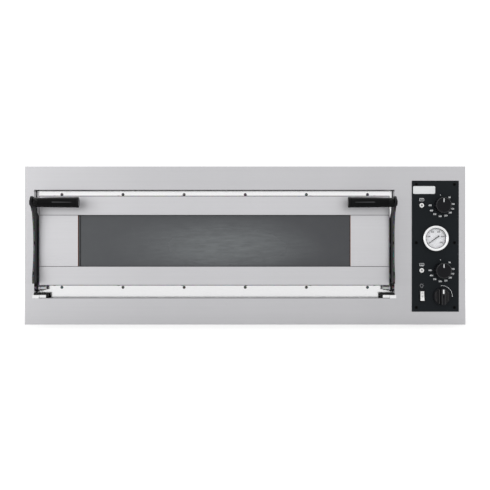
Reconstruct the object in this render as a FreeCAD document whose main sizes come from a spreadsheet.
import FreeCAD, Part
import math
import os
import re
import Sketcher

# Single-deck electric baking oven. X runs to the right, Y from the front to the back, Z up.
# The origin is the middle of the underside. All sizes are in millimetres.

V = FreeCAD.Vector
doc = FreeCAD.newDocument("deck_oven")
sheet = doc.addObject("Spreadsheet::Sheet", "dims")

# Every size that can be set by itself.
sizes = {
    # cabinet
    "cabinetWide": 1150,
    "cabinetDeep": 950,
    "cabinetTall": 413,
    "skin": 1.2,
    "frontReturn": 20,
    "hem": 15,
    "rearScrewInset": 8,
    "legInset": 50,
    "legInsertRadius": 7,
    "legThreadRadius": 4.25,
    "legInsertTall": 18,
    "slotFar": 130,
    "slotNear": 60,
    "slotFoot": 80,
    "slotTall": 5,
    "slotRun": 165,
    # doorway and the bright frame behind it
    "doorwayMargin": 24,
    "doorwayBottom": 68.6,
    "doorwayTopBand": 61.3,
    "postWide": 45,
    "revealDeep": 34,
    "frameOverlap": 6,
    "frameScrewPitch": 161.5,
    "frameScrewInset": 10.8,
    "frameScrewRise": 27.3,
    # baking chamber
    "chamberInset": 60.5,
    "mouthSill": 61.4,
    "mouthLintel": 46.7,
    "floorDrop": 42,
    "ceilingRise": 15,
    "rearSpace": 75,
    "stoneThick": 19,
    "stoneGap": 3,
    "elementRadius": 4,
    "elementBend": 50,
    "elementDrop": 12,
    "supportInset": 12,
    "supportThick": 3,
    "hangerRadius": 2.5,
    "hangerSpread": 260,
    "wrapThick": 60,
    "wrapFrontGap": 15,
    "wrapFloorGap": 30,
    "wrapTopGap": 18,
    "lampRadius": 28,
    "lampBack": 180,
    "lampDeep": 50,
    "flueRadius": 30,
    "flueDrop": 60,
    "flueReach": 30,
    "bendInset": 40,
    "elementTail": 15,
    "lampWall": 3,
    "lampLip": 3,
    "lampGlassProud": 2.5,
    "lampGlassDeep": 2,
    "slabGap": 10,
    "dividerGap": 4,
    "dividerFrontGap": 2,
    # door
    "doorSideGap": 14.5,
    "doorBottomGap": 33.7,
    "doorTopGap": 15.9,
    "doorThick": 45,
    "doorSeat": 1,
    "topRail": 49.8,
    "bottomRail": 49,
    "windowSide": 101,
    "bandRecess": 4,
    "glassTuck": 8,
    "glassThick": 5,
    "doorScrewPitch": 167.5,
    "doorHeadTall": 1.5,
    "fillGap": 1,
    # hinge and levers
    "pivotInset": 10,
    "pinRadius": 6,
    "pinClear": 0.6,
    "pinReach": 29.6,
    "bracketThick": 7,
    "bracketHalf": 16,
    "bracketGap": 4,
    "coilThick": 3.2,
    "coilEndGap": 0.3,
    "coilPinGap": 0.4,
    "armGap": 3,
    "armThick": 5,
    "eyeWall": 4,
    "armHeelReach": 56,
    "armBow": 191,
    "armBehind": 3,
    "armBackDrop": 46,
    "armShoulder": 8,
    "armShoulderDrop": 20,
    "armCrownBack": 4,
    "armCrownDrop": 2,
    "armBellyReach": 5,
    "armBellyDrop": 10,
    "armFootReach": 2,
    "armFootRise": 19,
    "armBolt": 4,
    "armBoltLow": 30.7,
    "armBoltHigh": 113.2,
    "armBoltHead": 7,
    "armBoltReach": 11,
    "boltHeadTall": 3,
    "spacerWall": 4,
    "bushGap": 0.5,
    "stopProud": 3,
    "stopTall": 8.4,
    "stopWide": 39.3,
    "stopPad": 5.4,
    "stopDeep": 18,
    "stopHook": 4,
    "stopStep": 2,
    "stopSetback": 5,
    "gripReach": 75,
    "gripDrop": 19.8,
    "gripHub": 16,
    "gripLong": 117.5,
    "gripRadius": 13.7,
    "gripNeck": 11,
    "gripBolt": 4,
    "gripBoltHead": 9,
    "gripBoltReach": 38,
    "gripCollar": 8,
    "gripNose": 9,
    "gripNoseFlat": 3,
    "gripNoseEase": 2,
    "gripNoseRound": 7,
    "gripBoltDeep": 40,
    # control panel
    "panelMargin": 17.6,
    "panelWide": 122.4,
    "panelBottom": 33.7,
    "panelTopMargin": 37.4,
    "overlay": 2,
    "controlScrewInset": 11.5,
    "controlScrewLow": 10.9,
    "controlScrewMiddle": 9,
    "controlScrewHigh": 9.8,
    "plateInset": 3,
    "plateWide": 57.5,
    "plateDrop": 14.4,
    "plateTall": 20.2,
    "plateThick": 1,
    "knobOffset": 16.1,
    "lampOffset": 35.6,
    "topKnobDrop": 64.6,
    "bottomKnobRise": 107.7,
    "gaugeDrop": 1.2,
    "selectorRise": 40.1,
    "rockerOffset": 34.2,
    "rockerRise": 40.9,
    "shaftRadius": 3,
    "shaftDeep": 20,
    "shaftBoreDeep": 22,
    "hubDeep": 20,
    "neckRadius": 4.8,
    "neckDeep": 10,
    "switchHalfWide": 21,
    "switchHalfTall": 17,
    "switchDeep": 46,
    "barrelDeep": 25,
    "knobRadius": 20.5,
    "knobProud": 35,
    "knobGap": 1.5,
    "knobSkirt": 7,
    "knobDraft": 1.5,
    "knobCrown": 4,
    "knobCrownInset": 4.5,
    "selectorRadius": 22.5,
    "selectorProud": 30,
    "selectorBar": 11,
    "selectorDisc": 8,
    "pilotRadius": 7,
    "pilotBarrel": 5.8,
    "pilotProud": 3,
    "gaugeRadius": 34,
    "gaugeBore": 26.5,
    "gaugeBarrel": 29.5,
    "gaugeProud": 12,
    "gaugeRim": 3,
    "gaugeBevel": 4,
    "gaugeDeep": 28,
    "gaugeFloor": 6,
    "dialThick": 1,
    "dialFit": 0.2,
    "lensSetback": 1.5,
    "lensThick": 2,
    "gaugeRest": 234,
    "needleLong": 24.5,
    "needleTail": 12,
    "needleTailHalf": 1.6,
    "needleTipHalf": 0.3,
    "needleThick": 1,
    "needleHub": 4,
    "needleHubTall": 3,
    "needleFoot": 5,
    "needlePivot": 1,
    "rockerHalf": 12.8,
    "rockerWide": 10,
    "rockerPin": 1.2,
    "rockerPinReach": 0.8,
    "rockerPinRise": 1,
    "rockerCaseSide": 1.4,
    "rockerCaseEnd": 2.4,
    "rockerLip": 1,
    "rockerLipTall": 2,
    "rockerSideGap": 0.3,
    "rockerEndGap": 1.7,
    "rockerWell": 10,
    "rockerHoleGap": 0.2,
    "keyFace": 1.2,
    "keyTopTrim": 0.4,
    "keyLowTrim": 0.6,
    "keyTipTrim": 0.8,
    "keyTip": 6,
    "keyDip": 1.8,
    "keyRoot": 3.5,
    "keyRootHalf": 9,
    "screwHead": 4,
    "screwHeadTall": 2.2,
    "screwShank": 1.9,
    "controlScrewReach": 10,
    "rearScrewReach": 8,
    "frameScrewReach": 9,
    "rearScrewRise": 12,
    "rearScrewSpread": 250,
    # wiring and sensing
    "glandOffset": 80,
    "glandZ": 60,
    "glandHex": 16,
    "glandHexTall": 9,
    "glandDome": 13,
    "glandDomeReach": 22,
    "glandThread": 12,
    "glandThreadReach": 14,
    "glandBore": 7,
    "terminalInset": 12,
    "terminalWide": 70,
    "terminalBack": 60,
    "terminalDeep": 35,
    "terminalTall": 40,
    "bulbFirst": 120,
    "bulbPitch": 60,
    "bulbDrop": 30,
    "bulbInset": 14,
    "bulbGap": 2,
    "bulbRadius": 3.5,
    "bulbLong": 60,
    "capillaryRadius": 2,
    "capillaryBend": 12,
    "capillaryGap": 6,
    # fits
    "runFit": 0.05,
    "pressFit": 0.02,
    "holeFit": 0.3,
    "stopFit": 0.3,
}

# Places that follow from the sizes.
places = {
    "front": "-cabinetDeep/2",
    "back": "cabinetDeep/2",
    "leftSide": "-cabinetWide/2",
    "rightSide": "cabinetWide/2",
    "frontEdge": "front + frontReturn",
    "panelRight": "rightSide - panelMargin",
    "panelLeft": "panelRight - panelWide",
    "panelCentre": "(panelLeft + panelRight)/2",
    "panelTop": "cabinetTall - panelTopMargin",
    "panelFace": "front - overlay",
    "doorwayLeft": "leftSide + doorwayMargin",
    "doorwayRight": "panelLeft - postWide",
    "doorwayCentre": "(doorwayLeft + doorwayRight)/2",
    "doorwayTop": "cabinetTall - doorwayTopBand",
    "frameFace": "front + revealDeep",
    "frameBack": "frameFace + skin",
    "chamberLeft": "doorwayLeft + chamberInset",
    "chamberRight": "doorwayRight - chamberInset",
    "chamberBack": "back - rearSpace",
    "mouthBottom": "doorwayBottom + mouthSill",
    "mouthTop": "doorwayTop - mouthLintel",
    "chamberFloor": "mouthBottom - floorDrop",
    "chamberCeiling": "mouthTop + ceilingRise",
    "elementPitch": "(chamberBack - frameBack - 2*supportInset)/4",
    "lowerElementZ": "chamberFloor + (mouthBottom - stoneThick - chamberFloor)/2",
    "upperElementZ": "chamberCeiling - elementDrop",
    "wrapLeft": "chamberLeft - skin - wrapThick",
    "wrapRight": "chamberRight + skin + wrapThick",
    "wrapTop": "cabinetTall - wrapTopGap",
    "dividerLeft": "wrapRight + dividerGap",
    "dividerRight": "dividerLeft + skin",
    "flueZ": "chamberCeiling - flueDrop",
    "lampY": "frameBack + lampBack",
    "lampZ": "(mouthBottom + mouthTop)/2",
    "legX": "cabinetWide/2 - legInset",
    "legY": "cabinetDeep/2 - legInset",
    "doorLeft": "doorwayLeft + doorSideGap",
    "doorRight": "doorwayRight - doorSideGap",
    "doorBottom": "doorwayBottom + doorBottomGap",
    "doorTop": "doorwayTop - doorTopGap",
    "doorBack": "frameFace - doorSeat",
    "doorFace": "doorBack - doorThick",
    "bandBottom": "doorBottom + bottomRail",
    "bandTop": "doorTop - topRail",
    "windowLeft": "doorLeft + windowSide",
    "windowRight": "doorRight - windowSide",
    "lipBack": "doorFace + skin + bandRecess",
    "glassFace": "lipBack + skin",
    "innerGlassFace": "doorBack - skin - glassThick",
    "pivotY": "front + pivotInset",
    "pivotZ": "doorBottom - pinRadius - pinClear",
    "springRadius": "pinRadius + coilThick",
    "armEye": "pinRadius + eyeWall",
    "armHeelZ": "pivotZ + pivotInset + stopProud + stopFit",
    "gripY": "front - gripReach",
    "gripZ": "doorTop - gripDrop",
    "topKnobZ": "panelTop - topKnobDrop",
    "bottomKnobZ": "panelBottom + bottomKnobRise",
    "knobX": "panelCentre + knobOffset",
    "pilotX": "panelCentre - lampOffset",
    "gaugeZ": "(topKnobZ + bottomKnobZ)/2 - gaugeDrop",
    "selectorZ": "panelBottom + selectorRise",
    "rockerX": "panelCentre - rockerOffset",
    "rockerZ": "panelBottom + rockerRise",
    "shaftBore": "shaftRadius + runFit",
    "glandX": "dividerRight + glandOffset",
    "armFoot": "front - armHeelReach",
    "armOuter": "doorSideGap - armGap - armThick",
    "stopInner": "doorSideGap - stopStep",
    "stopEnd": "stopWide - stopHook",
}

for row, (alias, value) in enumerate(sizes.items(), start=1):
    sheet.set(f"A{row}", alias)
    sheet.set(f"B{row}", str(value))
    sheet.setAlias(f"B{row}", alias)
doc.recompute()

word = re.compile(r"[A-Za-z][A-Za-z0-9]*")


def bind(text):
    """Turn names of sizes and places into an expression on the sheet."""
    def swap(match):
        name = match.group(0)
        if name in places:
            return "(" + bind(places[name]) + ")"
        if name in sizes:
            return "dims." + name
        return name
    return word.sub(swap, str(text))


def number(text):
    return float(sheet.evalExpression(bind(text)))


def place(piece, x, y, z):
    for axis, value in (("x", x), ("y", y), ("z", z)):
        piece.setExpression("Placement.Base." + axis, bind(value))


# --- primitives and booleans ---

turns = {
    "x": FreeCAD.Rotation(V(0, 1, 0), 90),
    "y": FreeCAD.Rotation(V(1, 0, 0), -90),
    "z": FreeCAD.Rotation(),
}


def box(name, xs, ys, zs):
    """A block between pairs of low and high coordinates."""
    piece = doc.addObject("Part::Box", name)
    for size, (low, high) in (("Length", xs), ("Width", ys), ("Height", zs)):
        piece.setExpression(size, bind(f"({high}) - ({low})"))
    place(piece, xs[0], ys[0], zs[0])
    return piece


def rod(name, radius, along, start, end, one, two):
    """A cylinder along an axis; one and two are its other coordinates in X, Y, Z order."""
    piece = doc.addObject("Part::Cylinder", name)
    piece.Placement = FreeCAD.Placement(V(0, 0, 0), turns[along])
    piece.setExpression("Radius", bind(radius))
    piece.setExpression("Height", bind(f"({end}) - ({start})"))
    centre = {"x": (start, one, two), "y": (one, start, two), "z": (one, two, start)}
    place(piece, *centre[along])
    return piece


def fuse(name, pieces):
    joined = doc.addObject("Part::MultiFuse", name)
    joined.Shapes = pieces
    return joined


def cut(name, base, tools):
    result = doc.addObject("Part::Cut", name)
    result.Base = base
    result.Tool = tools[0] if len(tools) == 1 else fuse(name + "_tools", tools)
    return result


def group(name, pieces):
    together = doc.addObject("Part::Compound", name)
    together.Links = pieces
    return together


def tube(name, outer, inner, along, start, end, one, two):
    wall = rod(name + "_wall", outer, along, start, end, one, two)
    hollow = rod(name + "_hollow", inner, along, f"({start}) - 1", f"({end}) + 1", one, two)
    return cut(name, wall, [hollow])


def screw(name, along, face, outward, one, two, reach):
    """A low head standing on a face, with its shank through it. outward is 1 or -1."""
    head = ("screwHead", f"({face})", f"({face}) + screwHeadTall") if outward > 0 else (
        "screwHead", f"({face}) - screwHeadTall", f"({face})")
    shank = ("screwShank", f"({face}) - {reach}", f"({face}) + 1") if outward > 0 else (
        "screwShank", f"({face}) - 1", f"({face}) + {reach}")
    pieces = []
    for part, (radius, start, end) in (("head", head), ("shank", shank)):
        pieces.append(rod(f"{name}_{part}", radius, along, start, end, one, two))
    return fuse(name, pieces)


# --- sketched bodies ---

def newBody(name):
    return doc.addObject("PartDesign::Body", name)


def sketchOn(body, role, height):
    """A sketch parallel to an origin plane. height is measured along the plane's normal."""
    sketch = body.newObject("Sketcher::SketchObject", body.Name + "_sketch")
    plane = [item for item in body.Origin.OriginFeatures if item.Role == role][0]
    sketch.AttachmentSupport = [(plane, "")]
    sketch.MapMode = "FlatFace"
    sketch.setExpression("AttachmentOffset.Base.z", bind(height))
    return sketch


def tie(sketch, kind, where, text):
    """Add one dimension to a sketch and bind it to an expression."""
    index = sketch.addConstraint(Sketcher.Constraint(kind, *where, number(text)))
    title = f"size{index}"
    sketch.renameConstraint(index, title)
    sketch.setExpression("Constraints." + title, bind(text))


def outline(sketch, corners):
    """A closed outline. A third item is the radius of the arc to the next corner: a positive
    radius bulges to the right of the way of travel, a negative one to the left."""
    points = [V(number(corner[0]), number(corner[1]), 0) for corner in corners]
    count = len(corners)
    ends = []
    for index, corner in enumerate(corners):
        start, end = points[index], points[(index + 1) % count]
        if len(corner) < 3:
            edge = sketch.addGeometry(Part.LineSegment(start, end), False)
            ends.append((edge, 1, 2))
            continue
        radius = number(corner[2])
        half = (end - start).Length / 2
        rise = math.sqrt(max(radius * radius - half * half, 0))
        side = V(-(end - start).y, (end - start).x, 0).normalize()
        sign = 1 if radius > 0 else -1
        centre = (start + end) * 0.5 + side * (rise * sign)
        circle = Part.Circle(centre, V(0, 0, 1), abs(radius))
        first, last = (start, end) if radius > 0 else (end, start)
        arc = Part.ArcOfCircle(circle, circle.parameter(first), circle.parameter(last))
        edge = sketch.addGeometry(arc, False)
        ends.append((edge, 1, 2) if radius > 0 else (edge, 2, 1))
        tie(sketch, "Radius", (edge,), corner[2] if radius > 0 else f"-({corner[2]})")
    for index in range(count):
        after = (index + 1) % count
        joint = (ends[index][0], ends[index][2], ends[after][0], ends[after][1])
        sketch.addConstraint(Sketcher.Constraint("Coincident", *joint))
        tie(sketch, "DistanceX", (-1, 1, ends[index][0], ends[index][1]), corners[index][0])
        tie(sketch, "DistanceY", (-1, 1, ends[index][0], ends[index][1]), corners[index][1])


def rectangle(sketch, us, vs):
    outline(sketch, [(us[0], vs[0]), (us[1], vs[0]), (us[1], vs[1]), (us[0], vs[1])])


def circle(sketch, u, v, radius):
    centre = V(number(u), number(v), 0)
    edge = sketch.addGeometry(Part.Circle(centre, V(0, 0, 1), number(radius)), False)
    tie(sketch, "Radius", (edge,), radius)
    tie(sketch, "DistanceX", (-1, 1, edge, 3), u)
    tie(sketch, "DistanceY", (-1, 1, edge, 3), v)


def pad(body, sketch, length):
    feature = body.newObject("PartDesign::Pad", body.Name + "_pad")
    feature.Profile = sketch
    feature.setExpression("Length", bind(length))
    return feature


def pocket(body, sketch, length):
    """Cut against the sketch's normal, and check that it takes something away."""
    doc.recompute()
    before = body.Shape.Volume
    feature = body.newObject("PartDesign::Pocket", body.Name + "_pocket")
    feature.Profile = sketch
    feature.setExpression("Length", bind(length))
    doc.recompute()
    if body.Shape.Volume > before - 1:
        raise ValueError(feature.Name + " cuts nothing")
    return feature


def revolve(body, sketch, axis):
    feature = body.newObject("PartDesign::Revolution", body.Name + "_revolve")
    feature.Profile = sketch
    feature.ReferenceAxis = (sketch, [axis])
    feature.Angle = 360
    return feature


def ringPad(body, height, outer, inner, length):
    """A frame between two rectangles, drawn facing the front and padded towards it."""
    sketch = sketchOn(body, "XZ_Plane", height)
    rectangle(sketch, *outer)
    rectangle(sketch, *inner)
    pad(body, sketch, length)


nodes = []


def keep(piece, label):
    piece.Label = label
    nodes.append(piece)
    return piece


def span(edge, sign, near, far):
    """An X range counted inwards from an edge: sign 1 for a left edge, -1 for a right one."""
    if sign > 0:
        return (f"{edge} + ({near})", f"{edge} + ({far})")
    return (f"{edge} - ({far})", f"{edge} - ({near})")


def around(middle, half):
    """The range that reaches half to each side of a middle."""
    return (f"{middle} - ({half})", f"{middle} + ({half})")


sides = (("left", "doorwayLeft", 1), ("right", "doorwayRight", -1))
skinInside = ("leftSide + skin", "rightSide - skin")

# --- cabinet sheets ---

controlScrews = [(x, z) for x in ("panelLeft + controlScrewInset", "panelRight - controlScrewInset")
                 for z in ("panelBottom + controlScrewLow", "(panelBottom + panelTop)/2 + controlScrewMiddle",
                           "panelTop - controlScrewHigh")]
knobSeats = (("top_heat", "topKnobZ"), ("bottom_heat", "bottomKnobZ"), ("selector", "selectorZ"))


def drawControlHoles(sketch):
    for x, z in controlScrews:
        circle(sketch, x, z, "screwShank + holeFit")
    for _, z in knobSeats:
        circle(sketch, "knobX", z, "neckRadius + holeFit")
    for z in ("topKnobZ", "bottomKnobZ"):
        circle(sketch, "pilotX", z, "pilotBarrel + holeFit")
    circle(sketch, "panelCentre", "gaugeZ", "gaugeBarrel + holeFit")
    rectangle(sketch, around("rockerX", "rockerWide/2 + rockerCaseSide + rockerHoleGap"),
              around("rockerZ", "rockerHalf + rockerCaseEnd + rockerHoleGap"))


def frontPanel():
    body = newBody("frontPanel")
    outer = (("leftSide", "rightSide"), ("0", "cabinetTall"))
    rim = (skinInside, ("skin", "cabinetTall - skin"))
    doorway = (("doorwayLeft", "doorwayRight"), ("doorwayBottom", "doorwayTop"))
    sleeve = (("doorwayLeft - skin", "doorwayRight + skin"), ("doorwayBottom - skin", "doorwayTop + skin"))
    ringPad(body, "-(front + skin)", outer, doorway, "skin")
    ringPad(body, "-frontEdge", outer, rim, "frontReturn - skin")
    ringPad(body, "-frameFace", sleeve, doorway, "revealDeep - skin")
    holes = sketchOn(body, "XZ_Plane", "-front")
    drawControlHoles(holes)
    pocket(body, holes, "skin")
    pins = sketchOn(body, "YZ_Plane", "doorwayRight + skin + 1")
    circle(pins, "pivotY", "pivotZ", "pinRadius + holeFit")
    pocket(body, pins, "doorwayRight - doorwayLeft + 2*skin + 2")
    return keep(body, "front_panel")


def sidePanel(name, edge, sign):
    """A C-shaped sheet seen from above. The right one has air slots for the wiring space."""
    body = newBody(name)
    plan = sketchOn(body, "XY_Plane", "skin")
    inner = f"{edge} + ({sign})*skin"
    lip = f"{edge} + ({sign})*hem"
    outline(plan, [
        (edge, "frontEdge"), (lip, "frontEdge"), (lip, "frontEdge + skin"), (inner, "frontEdge + skin"),
        (inner, "back - 2*skin"), (lip, "back - 2*skin"), (lip, "back - skin"), (inner, "back - skin"),
        (inner, "back"), (edge, "back")])
    pad(body, plan, "cabinetTall - 2*skin")
    holes = sketchOn(body, "XZ_Plane", "-(back - 2*skin)")
    for z in rearScrewLevels:
        circle(holes, f"{edge} + ({sign})*rearScrewInset", z, "screwShank + holeFit")
    pocket(body, holes, "skin")
    if sign < 0:
        slot = sketchOn(body, "YZ_Plane", "rightSide + 1")
        rectangle(slot, ("back - slotFar", "back - slotNear"), ("slotFoot", "slotFoot + slotTall"))
        first = pocket(body, slot, "skin + 2")
        rows = body.newObject("PartDesign::LinearPattern", name + "_slots")
        rows.Originals = [first]
        rows.Direction = (slot, ["V_Axis"])
        rows.setExpression("Length", bind("slotRun"))
        rows.Occurrences = 12
        body.Tip = rows
    return keep(body, name)


def flatSheets():
    wide = ("leftSide", "rightSide")
    deep = ("frontEdge", "back")
    pan = box("base_sheet", wide, deep, ("0", "skin"))
    legHoles = [rod(f"leg_hole_{index}", "legInsertRadius", "z", "-1", "skin + 1", x, y)
                for index, (x, y) in enumerate(legPoints)]
    keep(cut("base", pan, legHoles), "base_pan")
    keep(box("top", wide, deep, ("cabinetTall - skin", "cabinetTall")), "top_cover")
    rear = box("rear_sheet", skinInside, ("back - skin", "back"), ("skin", "cabinetTall - skin"))
    holes = [
        rod("flue_hole", "flueRadius + holeFit", "y", "back - skin - 1", "back + 1", "doorwayCentre", "flueZ"),
        rod("gland_hole", "glandThread + holeFit", "y", "back - skin - 1", "back + 1", "glandX", "glandZ")]
    for index, (x, z) in enumerate(rearScrews):
        holes.append(rod(f"rear_screw_hole_{index}", "screwShank + holeFit", "y",
                         "back - skin - 1", "back + 1", x, z))
    keep(cut("rear", rear, holes), "back_panel")
    wall = box("divider_sheet", ("dividerLeft", "dividerRight"),
               ("frameBack + dividerFrontGap", "back - skin"), ("skin", "cabinetTall - skin"))
    keep(cut("divider", wall, [elementHoles, bulbHoles]), "divider_panel")


def legInserts():
    inserts = []
    for index, (x, y) in enumerate(legPoints):
        inserts.append(tube(f"leg_insert_{index}", "legInsertRadius", "legThreadRadius",
                            "z", "0", "legInsertTall", x, y))
    keep(group("legs", inserts), "leg_inserts")


# --- baking chamber ---

def chamberFrame():
    """The polished frame that the door closes against."""
    body = newBody("chamberFrame")
    outer = (("doorwayLeft - frameOverlap", "doorwayRight + frameOverlap"),
             ("doorwayBottom - frameOverlap", "doorwayTop + frameOverlap"))
    mouth = (("chamberLeft", "chamberRight"), ("mouthBottom", "mouthTop"))
    ringPad(body, "-frameBack", outer, mouth, "skin")
    holes = sketchOn(body, "XZ_Plane", "-frameFace")
    for x, z in frameScrews:
        circle(holes, x, z, "screwShank + holeFit")
    pocket(body, holes, "skin")
    return keep(body, "chamber_frame")


def chamberShell():
    """Floor, ceiling and three walls, welded along their edges."""
    wide = ("chamberLeft - skin", "chamberRight + skin")
    deep = ("frameBack", "chamberBack + skin")
    tall = ("chamberFloor", "chamberCeiling")
    floor = box("shell_floor", wide, deep, ("chamberFloor - skin", "chamberFloor"))
    ceiling = box("shell_ceiling", wide, deep, ("chamberCeiling", "chamberCeiling + skin"))
    left = box("shell_left", ("chamberLeft - skin", "chamberLeft"), deep, tall)
    right = box("shell_right", ("chamberRight", "chamberRight + skin"), deep, tall)
    rear = box("shell_rear", ("chamberLeft", "chamberRight"), ("chamberBack", "chamberBack + skin"), tall)
    flue = rod("shell_flue", "flueRadius + pressFit", "y", "chamberBack - 1", "chamberBack + skin + 1",
               "doorwayCentre", "flueZ")
    lamp = rod("shell_lamp", "lampRadius + pressFit", "x", "chamberRight - 1", "chamberRight + skin + 1",
               "lampY", "lampZ")
    keep(group("shell", [floor, ceiling, left, cut("shell_right_wall", right, [lamp, elementHoles, bulbHoles]),
                         cut("shell_rear_wall", rear, [flue])]), "chamber_shell")


def insulation():
    zs = ("wrapFloorGap", "wrapTop")
    outside = box("wrap_outside", ("wrapLeft", "wrapRight"),
                  ("frameBack + wrapFrontGap", "chamberBack + skin"), zs)
    core = box("wrap_core", ("chamberLeft - skin", "chamberRight + skin"),
               ("frameBack", "chamberBack + skin + 1"), ("chamberFloor - skin", "chamberCeiling + skin"))
    lamp = rod("wrap_lamp", "lampRadius + holeFit", "x", "chamberRight", "chamberRight + lampDeep + 1",
               "lampY", "lampZ")
    keep(cut("wrap", outside, [core, lamp, elementHoles, bulbHoles]), "insulation_wrap")
    slab = box("slab", ("wrapLeft", "wrapRight"), ("chamberBack + skin", "back - skin - slabGap"), zs)
    flue = rod("slab_flue", "flueRadius + holeFit", "y", "chamberBack", "back", "doorwayCentre", "flueZ")
    keep(cut("rear_slab", slab, [flue]), "back_insulation")


def hearth():
    deep = ("frameBack + stoneGap", "chamberBack - stoneGap")
    tall = ("mouthBottom - stoneThick", "mouthBottom")
    left = box("stone_left", ("chamberLeft + stoneGap", "doorwayCentre - stoneGap/2"), deep, tall)
    right = box("stone_right", ("doorwayCentre + stoneGap/2", "chamberRight - stoneGap"), deep, tall)
    keep(group("stones", [left, right]), "hearth_stones")
    supports = []
    for index in range(5):
        middle = f"frameBack + supportInset + {index}*elementPitch"
        supports.append(box(f"support_{index}", ("chamberLeft", "chamberRight"),
                            (f"{middle} - supportThick/2", f"{middle} + supportThick/2"),
                            ("chamberFloor", "mouthBottom - stoneThick")))
    for index, offset in enumerate(("-hangerSpread", "hangerSpread")):
        supports.append(rod(f"hanger_{index}", "hangerRadius", "y", "frameBack", "chamberBack",
                            f"doorwayCentre + {offset}", "upperElementZ - elementRadius - hangerRadius"))
    keep(group("supports", supports), "chamber_supports")


def hairpin(name, z, index):
    """One heating element: two straight legs along X and a round bend at the left."""
    middle = f"frameBack + supportInset + {index + 0.5}*elementPitch"
    bend = "chamberLeft + bendInset + elementBend"
    legs = []
    for side, shift in (("front", "-elementBend"), ("back", "elementBend")):
        legs.append(rod(f"{name}_{side}", "elementRadius", "x", bend, "dividerRight + elementTail",
                        f"{middle} + {shift}", z))
    turn = doc.addObject("Part::Torus", name + "_bend")
    turn.Placement = FreeCAD.Placement(V(0, 0, 0), FreeCAD.Rotation(V(0, 0, 1), 90))
    turn.setExpression("Radius1", bind("elementBend"))
    turn.setExpression("Radius2", bind("elementRadius"))
    turn.Angle3 = 180
    place(turn, bend, middle, z)
    return fuse(name, legs + [turn])


def elements():
    for label, z in (("lower_elements", "lowerElementZ"), ("upper_elements", "upperElementZ")):
        pins = [hairpin(f"{label}_{index}", z, index) for index in range(4)]
        keep(group(label + "_set", pins), label)


def chamberLamp():
    cup = rod("lamp_cup", "lampRadius", "x", "chamberRight - lampLip", "chamberRight + lampDeep",
              "lampY", "lampZ")
    hollow = rod("lamp_hollow", "lampRadius - lampWall", "x", "chamberRight - lampLip - 1",
                 "chamberRight + lampDeep - lampWall", "lampY", "lampZ")
    keep(cut("lamp", cup, [hollow]), "lamp_housing")
    keep(rod("lamp_disc", "lampRadius - lampWall", "x", "chamberRight - lampGlassProud",
             "chamberRight + lampGlassDeep", "lampY", "lampZ"), "lamp_glass")


def flue():
    keep(tube("flue", "flueRadius", "flueRadius - skin", "y", "chamberBack", "back + flueReach",
              "doorwayCentre", "flueZ"), "flue_collar")


# --- door ---

def doorFrame():
    """The folded front of the door: two rails joined by its ends, with a recessed band between."""
    body = newBody("doorFrame")
    outer = (("doorLeft", "doorRight"), ("doorBottom", "doorTop"))
    hollow = (("doorLeft + skin", "doorRight - skin"), ("doorBottom + skin", "doorTop - skin"))
    band = (("doorLeft + skin", "doorRight - skin"), ("bandBottom", "bandTop"))
    lips = (("doorLeft", "doorRight"), ("bandBottom - skin", "bandTop + skin"))
    ringPad(body, "-(doorFace + skin)", outer, band, "skin")
    ringPad(body, "-(doorBack - skin)", outer, hollow, "doorThick - 2*skin")
    ringPad(body, "-lipBack", lips, band, "bandRecess")
    bolts = sketchOn(body, "YZ_Plane", "doorRight + 1")
    for z in ("pivotZ + armBoltLow", "pivotZ + armBoltHigh"):
        circle(bolts, "pivotY", z, "armBolt + holeFit")
    pocket(body, bolts, "doorRight - doorLeft + 2")
    return keep(body, "door_frame")


def doorInside():
    window = (("windowLeft", "windowRight"), ("bandBottom", "bandTop"))
    glass = (("windowLeft - glassTuck", "windowRight + glassTuck"),
             ("bandBottom - glassTuck", "bandTop + glassTuck"))
    panel = newBody("innerPanel")
    ringPad(panel, "-doorBack", (("doorLeft", "doorRight"), ("doorBottom", "doorTop")), window, "skin")
    keep(panel, "door_inner_panel")
    gasket = newBody("gasket")
    ringPad(gasket, "-innerGlassFace", glass, window, "innerGlassFace - glassFace - glassThick")
    keep(gasket, "glass_gasket")
    keep(box("front_glass", glass[0], ("glassFace", "glassFace + glassThick"), glass[1]), "outer_glass")
    keep(box("rear_glass", glass[0], ("innerGlassFace", "innerGlassFace + glassThick"), glass[1]),
         "inner_glass")
    filling = newBody("filling")
    ringPad(filling, "-(doorBack - skin - fillGap)",
            (("doorLeft + hem", "doorRight - hem"),
             ("doorBottom + skin + fillGap", "doorTop - skin - fillGap")),
            (("windowLeft - glassTuck - fillGap", "windowRight + glassTuck + fillGap"),
             ("bandBottom - glassTuck - fillGap", "bandTop + glassTuck + fillGap")),
            "doorBack - skin - fillGap - glassFace - glassThick")
    keep(filling, "door_insulation")
    plates = []
    ends = (("left", ("doorLeft + skin", "windowLeft")), ("right", ("windowRight", "doorRight - skin")))
    for name, xs in ends:
        plates.append(box(f"side_plate_{name}", xs, ("lipBack", "glassFace"),
                          ("bandBottom - skin", "bandTop + skin")))
    keep(group("plates", plates), "side_plates")


def doorScrews():
    heads = []
    for index in range(6):
        x = f"doorwayCentre + {index - 2.5}*doorScrewPitch"
        heads.append(rod(f"door_screw_top_{index}", "screwHead", "z", "doorTop", "doorTop + doorHeadTall", x,
                         "pivotY"))
        heads.append(rod(f"door_screw_low_{index}", "screwHead", "z", "doorBottom - doorHeadTall", "doorBottom",
                         x, "pivotY"))
    keep(group("door_heads", heads), "door_screws")


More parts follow.
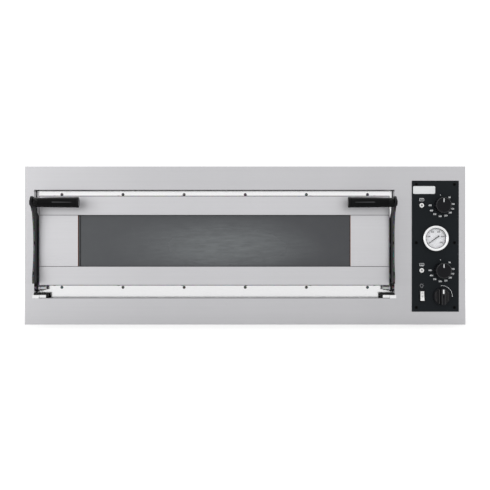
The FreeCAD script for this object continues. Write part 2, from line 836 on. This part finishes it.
def arm(name, edge, sign):
    """A flat bow-fronted lever beside the door, from the hinge pin up to the grip."""
    body = newBody(name)
    low = span(edge, sign, "armOuter", "armOuter + armThick")[0]
    side = sketchOn(body, "YZ_Plane", low)
    outline(side, [
        ("pivotY - armEye", "pivotZ", "armEye"),
        ("pivotY", "pivotZ - armEye", "armEye"),
        ("pivotY + armEye", "pivotZ"),
        ("pivotY + armEye + armBehind", "pivotZ + armEye"),
        ("pivotY + armEye + armBehind", "gripZ - armBackDrop"),
        ("doorFace - armShoulder", "gripZ - armShoulderDrop"),
        ("gripY + gripHub + armCrownBack", "gripZ + gripHub - armCrownDrop"),
        ("gripY", "gripZ + gripHub", "gripHub"),
        ("gripY - gripHub", "gripZ"),
        ("armFoot - armBellyReach", "gripZ - gripHub - armBellyDrop", "-armBow"),
        ("armFoot - armFootReach", "armHeelZ + armFootRise"),
        ("armFoot", "armHeelZ"),
        ("pivotY - armEye", "armHeelZ")])
    circle(side, "pivotY", "pivotZ", "pinRadius + runFit")
    circle(side, "gripY", "gripZ", "gripBolt + holeFit")
    for z in ("pivotZ + armBoltLow", "pivotZ + armBoltHigh"):
        circle(side, "pivotY", z, "armBolt + holeFit")
    pad(body, side, "armThick")
    return keep(body, name)


def armFasteners():
    bolts = []
    spacers = []
    armBoltEnd = ("armBolt", "armBoltHead", "doorSideGap + armBoltReach")
    gripBoltEnd = ("gripBolt", "gripBoltHead", "doorSideGap - armGap + gripBoltReach")
    for side, edge, sign in sides:
        seats = (("low", "pivotY", "pivotZ + armBoltLow", armBoltEnd),
                 ("high", "pivotY", "pivotZ + armBoltHigh", armBoltEnd),
                 ("grip", "gripY", "gripZ", gripBoltEnd))
        for part, y, z, (radius, head, reach) in seats:
            pieces = [rod(f"{side}_{part}_head", head, "x",
                          *span(edge, sign, "armOuter - boltHeadTall", "armOuter"), y, z),
                      rod(f"{side}_{part}_shank", radius, "x", *span(edge, sign, "armOuter - 1", reach), y, z)]
            bolts.append(fuse(f"{side}_{part}_bolt", pieces))
            if part != "grip":
                spacers.append(tube(f"{side}_{part}_spacer", "armBolt + spacerWall", "armBolt + holeFit", "x",
                                    *span(edge, sign, "armOuter + armThick", "doorSideGap"), y, z))
        spacers.append(tube(f"{side}_bush", "springRadius", "pinRadius + runFit", "x",
                            *span(edge, sign, "armOuter + armThick", "doorSideGap - bushGap"),
                            "pivotY", "pivotZ"))
    keep(group("lever_bolts", bolts), "arm_bolts")
    keep(group("lever_spacers", spacers), "arm_spacers")


def grips():
    pair = []
    for side, edge, sign in sides:
        body = newBody(f"{side}Grip")
        profile = sketchOn(body, "XY_Plane", "0")
        outline(profile, [
            ("0", "gripBolt + holeFit"), ("0", "gripNeck"), ("gripCollar", "gripNeck"),
            ("gripLong - gripNose", "gripRadius"), ("gripLong - gripNoseFlat", "gripRadius - gripNoseEase"),
            ("gripLong", "gripRadius - gripNoseRound"), ("gripLong", "0"),
            ("gripBoltDeep", "0"), ("gripBoltDeep", "gripBolt + holeFit")])
        revolve(body, profile, "H_Axis")
        angle = 0 if sign > 0 else 180
        body.Placement = FreeCAD.Placement(V(0, 0, 0), FreeCAD.Rotation(V(0, 0, 1), angle))
        place(body, f"{edge} + ({sign})*(doorSideGap - armGap)", "gripY", "gripZ")
        pair.append(body)
    keep(group("both_grips", pair), "door_grips")


# --- hinges and stops ---

def hinges():
    pins = []
    brackets = []
    springs = []
    stops = []
    pads = []
    for side, edge, sign in sides:
        pins.append(rod(f"{side}_pin", "pinRadius", "x",
                        *span(edge, sign, "-skin - bracketThick", "pinReach"), "pivotY", "pivotZ"))
        block = box(f"{side}_block", span(edge, sign, "-skin - bracketThick", "-skin"),
                    ("front + skin", "frameFace - bracketGap"), around("pivotZ", "bracketHalf"))
        bore = rod(f"{side}_bore", "pinRadius + pressFit", "x",
                   *span(edge, sign, "-skin - bracketThick - 1", "-skin + 1"), "pivotY", "pivotZ")
        brackets.append(cut(f"{side}_bracket", block, [bore]))
        coil = span(edge, sign, "coilEndGap", "armOuter - coilEndGap")
        wall = rod(f"{side}_coil_wall", "springRadius", "x", *coil, "pivotY", "pivotZ")
        hollow = rod(f"{side}_coil_hollow", "pinRadius + coilPinGap", "x",
                     *span(edge, sign, "-1", "doorSideGap"), "pivotY", "pivotZ")
        springs.append(cut(f"{side}_coil", wall, [hollow]))
        levers = span(edge, sign, "-stopHook", "stopInner")
        outer = span(edge, sign, "0", "stopInner")
        inner = span(edge, sign, "stopInner", "stopEnd - stopPad")
        end = span(edge, sign, "stopEnd - stopPad", "stopEnd")
        over = span(edge, sign, "stopInner", "stopEnd")
        shallow = ("front", "front + stopDeep")
        behind = ("pivotY - armEye + stopSetback", "front + stopDeep")
        low = ("doorwayBottom", "doorwayBottom + stopTall")
        high = ("doorwayBottom + stopTall", "doorwayBottom + stopTall + stopPad")
        stops.append(fuse(f"{side}_stop", [
            box(f"{side}_stop_lip", levers, ("front - stopProud", "front"), low),
            box(f"{side}_stop_foot", outer, shallow, low),
            box(f"{side}_stop_block", inner, behind, low)]))
        pads.append(fuse(f"{side}_stop_cover", [
            box(f"{side}_cover_front", outer, ("front - stopProud", "front + stopDeep"), high),
            box(f"{side}_cover_top", over, behind, high),
            box(f"{side}_cover_end", end, behind, low)]))
    keep(group("pins", pins), "hinge_pins")
    keep(group("brackets", brackets), "hinge_brackets")
    keep(group("coils", springs), "door_springs")
    keep(group("stops", stops), "door_stops")
    keep(group("pads", pads), "stop_pads")


# --- controls ---

def controlPanel():
    body = newBody("controlPanel")
    face = sketchOn(body, "XZ_Plane", "-front")
    rectangle(face, ("panelLeft", "panelRight"), ("panelBottom", "panelTop"))
    drawControlHoles(face)
    pad(body, face, "overlay")
    keep(body, "control_panel")
    screws = [screw(f"control_screw_{index}", "y", "panelFace", -1, x, z, "controlScrewReach")
              for index, (x, z) in enumerate(controlScrews)]
    keep(group("control_heads", screws), "control_screws")
    keep(box("plate", ("panelLeft + plateInset", "panelLeft + plateInset + plateWide"),
             ("panelFace - plateThick", "panelFace"),
             ("panelTop - plateDrop - plateTall", "panelTop - plateDrop")), "name_plate")


def switchBodies():
    """Each rotary control has a block behind the sheet and a neck that guides its shaft."""
    for (name, z), label in zip(knobSeats, ("top_thermostat", "bottom_thermostat", "selector_switch")):
        block = box(f"{name}_block", around("knobX", "switchHalfWide"),
                    ("front + skin", "front + switchDeep"), around(z, "switchHalfTall"))
        neck = rod(f"{name}_neck", "neckRadius", "y", "panelFace - 1", "front + neckDeep", "knobX", z)
        bore = rod(f"{name}_bore", "shaftBore", "y", "panelFace - 2", "front + shaftBoreDeep", "knobX", z)
        keep(cut(f"{name}_unit", fuse(f"{name}_solid", [block, neck]), [bore]), label)


def heatKnob(name, z):
    body = newBody(name + "Knob")
    profile = sketchOn(body, "XY_Plane", "0")
    outline(profile, [
        ("shaftRadius + pressFit", "-knobGap"), ("knobRadius", "-knobGap"), ("knobRadius", "-knobSkirt"),
        ("knobRadius - knobDraft", "knobCrown - knobProud"), ("knobRadius - knobCrownInset", "-knobProud"),
        ("0", "-knobProud"), ("0", "-hubDeep"), ("shaftRadius + pressFit", "-hubDeep")])
    revolve(body, profile, "V_Axis")
    place(body, "knobX", "panelFace", z)
    keep(body, name + "_knob")
    keep(rod(name + "_stem", "shaftRadius", "y", "panelFace - hubDeep", "front + shaftDeep", "knobX", z),
         name + "_shaft")


def selectorKnob():
    disc = rod("selector_disc", "selectorRadius", "y", "panelFace - selectorDisc", "panelFace - knobGap",
               "knobX", "selectorZ")
    barDeep = ("panelFace - selectorProud", "panelFace - selectorDisc + 1")
    drum = rod("selector_drum", "selectorRadius", "y", *barDeep, "knobX", "selectorZ")
    slab = box("selector_slab", around("knobX", "selectorBar/2"), barDeep,
               around("selectorZ", "selectorRadius"))
    bar = doc.addObject("Part::Common", "selector_bar")
    bar.Base = drum
    bar.Tool = slab
    bore = rod("selector_hub", "shaftRadius + pressFit", "y", "panelFace - hubDeep", "panelFace",
               "knobX", "selectorZ")
    keep(cut("selector_turned", fuse("selector_solid", [disc, bar]), [bore]), "selector_knob")
    keep(rod("selector_stem", "shaftRadius", "y", "panelFace - hubDeep", "front + shaftDeep",
             "knobX", "selectorZ"), "selector_shaft")


def pilotLamps():
    lamps = []
    for name, z in (("top", "topKnobZ"), ("bottom", "bottomKnobZ")):
        ring = rod(f"{name}_pilot_ring", "pilotRadius", "y", "panelFace - pilotProud", "panelFace", "pilotX", z)
        barrel = rod(f"{name}_pilot_barrel", "pilotBarrel", "y", "panelFace - 1", "front + barrelDeep",
                     "pilotX", z)
        lamps.append(fuse(f"{name}_pilot", [ring, barrel]))
    keep(group("pilots", lamps), "pilot_lamps")


def gauge():
    body = newBody("gaugeCase")
    profile = sketchOn(body, "XY_Plane", "0")
    outline(profile, [
        ("needlePivot + runFit", "-dialThick"), ("gaugeBore", "-dialThick"), ("gaugeBore", "-gaugeProud"),
        ("gaugeRadius - gaugeRim", "-gaugeProud"), ("gaugeRadius", "gaugeBevel - gaugeProud"),
        ("gaugeRadius", "0"), ("gaugeBarrel", "0"), ("gaugeBarrel", "gaugeDeep"), ("0", "gaugeDeep"),
        ("0", "gaugeFloor"), ("needlePivot + runFit", "gaugeFloor")])
    revolve(body, profile, "V_Axis")
    place(body, "panelCentre", "panelFace", "gaugeZ")
    keep(body, "gauge_case")
    keep(tube("dial", "gaugeBore - dialFit", "needlePivot + holeFit", "y", "panelFace - 2*dialThick",
              "panelFace - dialThick", "panelCentre", "gaugeZ"), "gauge_dial")
    keep(rod("gauge_disc", "gaugeBore - dialFit", "y", "panelFace - gaugeProud + lensSetback",
             "panelFace - gaugeProud + lensSetback + lensThick", "panelCentre", "gaugeZ"), "gauge_glass")
    needle = newBody("needle")
    blade = sketchOn(needle, "XZ_Plane", "2*dialThick + 2*needleThick")
    outline(blade, [
        ("-needleTailHalf", "0"), ("-needleTailHalf", "-needleTail"), ("needleTailHalf", "-needleTail"),
        ("needleTailHalf", "0"), ("needleTipHalf", "needleLong"), ("-needleTipHalf", "needleLong")])
    pad(needle, blade, "needleThick")
    hub = sketchOn(needle, "XZ_Plane", "2*dialThick + needleThick")
    circle(hub, "0", "0", "needleHub")
    pad(needle, hub, "needleHubTall")
    stem = sketchOn(needle, "XZ_Plane", "-needleFoot")
    circle(stem, "0", "0", "needlePivot")
    pad(needle, stem, "needleFoot + needleHubTall + needleThick/2")
    needle.Placement = FreeCAD.Placement(V(0, 0, 0), FreeCAD.Rotation(V(0, 1, 0), number("gaugeRest")))
    place(needle, "panelCentre", "panelFace", "gaugeZ")
    keep(needle, "gauge_needle")


def lightRocker():
    half = "rockerWide/2"
    keyPivot = "panelFace + rockerPinRise"
    bezel = box("rocker_bezel", around("rockerX", f"{half} + rockerCaseSide + rockerLip"),
                ("panelFace - rockerLipTall", "panelFace"),
                around("rockerZ", "rockerHalf + rockerCaseEnd + rockerLip"))
    barrel = box("rocker_barrel", around("rockerX", f"{half} + rockerCaseSide"),
                 ("panelFace - 1", "front + barrelDeep"), around("rockerZ", "rockerHalf + rockerCaseEnd"))
    cavity = box("rocker_cavity", around("rockerX", f"{half} + rockerSideGap"),
                 ("panelFace - rockerLipTall - 1", "panelFace + rockerWell"),
                 around("rockerZ", "rockerHalf + rockerEndGap"))
    bore = rod("rocker_bore", "rockerPin + runFit", "x",
               *around("rockerX", f"{half} + rockerPinReach + rockerHoleGap"), keyPivot, "rockerZ")
    keep(cut("rocker_frame", fuse("rocker_solid", [bezel, barrel]), [cavity, bore]), "rocker_housing")
    body = newBody("rockerKey")
    side = sketchOn(body, "YZ_Plane", f"-{half}")
    outline(side, [
        ("-keyFace", "rockerHalf - keyTopTrim"), ("keyRoot", "keyRootHalf"), ("keyRoot", "-keyRootHalf"),
        ("-keyFace", "keyLowTrim - rockerHalf"), ("-keyTip", "keyTipTrim - rockerHalf"), ("-keyDip", "0")])
    pad(body, side, "rockerWide")
    pin = sketchOn(body, "YZ_Plane", f"-{half} - rockerPinReach")
    circle(pin, "0", "0", "rockerPin")
    pad(body, pin, "rockerWide + 2*rockerPinReach")
    place(body, "rockerX", keyPivot, "rockerZ")
    keep(body, "light_rocker")


# --- services ---

def bentTube(name, radius, points, bend):
    """A round tube along straight runs joined by tangent arcs."""
    edges = []
    cursor = points[0]
    for index in range(1, len(points) - 1):
        corner = points[index]
        before = (corner - points[index - 1]).normalize()
        after = (points[index + 1] - corner).normalize()
        turn = before.getAngle(after)
        setback = bend * math.tan(turn / 2)
        start = corner - before * setback
        end = corner + after * setback
        inward = (after - before).normalize()
        centre = corner + inward * (bend / math.cos(turn / 2))
        middle = centre - inward * bend
        edges.append(Part.LineSegment(cursor, start).toShape())
        edges.append(Part.Arc(start, middle, end).toShape())
        cursor = end
    edges.append(Part.LineSegment(cursor, points[-1]).toShape())
    path = Part.Wire(edges)
    ring = Part.makeCircle(radius, points[0], (points[1] - points[0]).normalize())
    shape = path.makePipeShell([Part.Wire([ring])], True, False)
    drawn = math.pi * radius * radius * path.Length
    if abs(shape.Volume - drawn) > 0.02 * drawn:
        raise ValueError(name + " has the wrong volume")
    return shape


def capillaries():
    """Three sensing tubes run from the instruments to bulbs on the chamber's right wall."""
    shapes = []
    for index, (x, z, level) in enumerate(bulbSeats):
        wallY = number(f"lampY + bulbFirst + {index}*bulbPitch")
        start = V(number(x), number("front + switchDeep + capillaryGap"), number(z))
        bulbEnd = V(number("chamberRight - bulbInset"), wallY, number(level))
        points = [start, V(start.x, wallY, start.z)]
        if abs(start.z - bulbEnd.z) > 20:
            points.append(V(start.x, wallY, bulbEnd.z))
        points.append(bulbEnd)
        shapes.append(bentTube(f"capillary_{index}", number("capillaryRadius"), points,
                               number("capillaryBend")))
        bulbStart = bulbEnd + V(0, number("bulbGap"), 0)
        shapes.append(Part.makeCylinder(number("bulbRadius"), number("bulbLong"), bulbStart, V(0, 1, 0)))
    return shapes


def services():
    gland = [rod("gland_hex", "glandHex", "y", "back", "back + glandHexTall", "glandX", "glandZ"),
             rod("gland_dome", "glandDome", "y", "back + glandHexTall - 1", "back + glandDomeReach",
                 "glandX", "glandZ"),
             rod("gland_thread", "glandThread", "y", "back - glandThreadReach", "back + 1",
                 "glandX", "glandZ")]
    bore = rod("gland_bore", "glandBore", "y", "back - glandThreadReach - 1", "back + glandDomeReach + 1",
               "glandX", "glandZ")
    keep(cut("gland", fuse("gland_solid", gland), [bore]), "cable_gland")
    keep(box("terminals", ("dividerRight + terminalInset", "dividerRight + terminalInset + terminalWide"),
             ("back - terminalBack - terminalDeep", "back - terminalBack"),
             ("skin", "skin + terminalTall")), "terminal_block")
    screws = [screw(f"rear_screw_{index}", "y", "back", 1, x, z, "rearScrewReach")
              for index, (x, z) in enumerate(rearScrews)]
    screws += [screw(f"frame_screw_{index}", "y", "frameFace", -1, x, z, "frameScrewReach")
               for index, (x, z) in enumerate(frameScrews)]
    keep(group("sheet_screws", screws), "panel_screws")


# --- shared positions and hole tools ---

legPoints = [(x, y) for x in ("-legX", "legX") for y in ("-legY", "legY")]
rearScrewLevels = ("skin + rearScrewRise", "cabinetTall - skin - rearScrewRise")
rearScrews = [(x, z) for x in ("leftSide + rearScrewInset", "-rearScrewSpread", "rearScrewSpread",
                               "rightSide - rearScrewInset") for z in rearScrewLevels]
frameScrews = [(f"doorwayCentre + {index - 2.5}*frameScrewPitch", z)
               for index in range(6) for z in ("doorwayBottom + frameScrewRise", "doorwayTop - frameScrewInset")]
bulbSeats = (("knobX", "topKnobZ", "upperElementZ - bulbDrop"),
             ("panelCentre", "gaugeZ", "gaugeZ"),
             ("knobX", "bottomKnobZ", "bottomKnobZ"))

elementTools = []
for level, z in (("low", "lowerElementZ"), ("high", "upperElementZ")):
    for index in range(4):
        for side, shift in (("front", "-elementBend"), ("back", "elementBend")):
            y = f"frameBack + supportInset + {index + 0.5}*elementPitch + {shift}"
            elementTools.append(rod(f"element_hole_{level}_{index}_{side}", "elementRadius + holeFit", "x",
                                    "chamberRight - 1", "dividerRight + 1", y, z))
elementHoles = group("element_holes", elementTools)
bulbHoles = group("bulb_holes", [
    rod(f"bulb_hole_{index}", "capillaryRadius + holeFit", "x", "chamberRight - 1", "dividerRight + 1",
        f"lampY + bulbFirst + {index}*bulbPitch", seat[2]) for index, seat in enumerate(bulbSeats)])

frontPanel()
sidePanel("left_side_panel", "leftSide", 1)
sidePanel("right_side_panel", "rightSide", -1)
flatSheets()
legInserts()
chamberFrame()
chamberShell()
insulation()
hearth()
elements()
chamberLamp()
flue()
doorFrame()
doorInside()
doorScrews()
arm("left_arm", "doorwayLeft", 1)
arm("right_arm", "doorwayRight", -1)
armFasteners()
grips()
hinges()
controlPanel()
switchBodies()
heatKnob("top_heat", "topKnobZ")
heatKnob("bottom_heat", "bottomKnobZ")
selectorKnob()
pilotLamps()
gauge()
lightRocker()
services()
tubes = doc.addObject("Part::Feature", "sensing_tubes")
tubes.Shape = Part.makeCompound(capillaries())
tubes.Placement = FreeCAD.Placement()
keep(tubes, "capillary_tubes")

doc.recompute()
for item in doc.Objects:
    if "Invalid" in item.State or "Error" in item.State:
        raise ValueError(f"{item.Label} failed: {item.State}")
for piece in nodes:
    if piece.Shape.isNull() or not piece.Shape.isValid():
        raise ValueError(piece.Label + " has no valid shape")

os.makedirs("parts", exist_ok=True)
for piece in nodes:
    piece.Shape.exportStep(f"parts/{piece.Label}.step")
print(len(nodes), "nodes written")
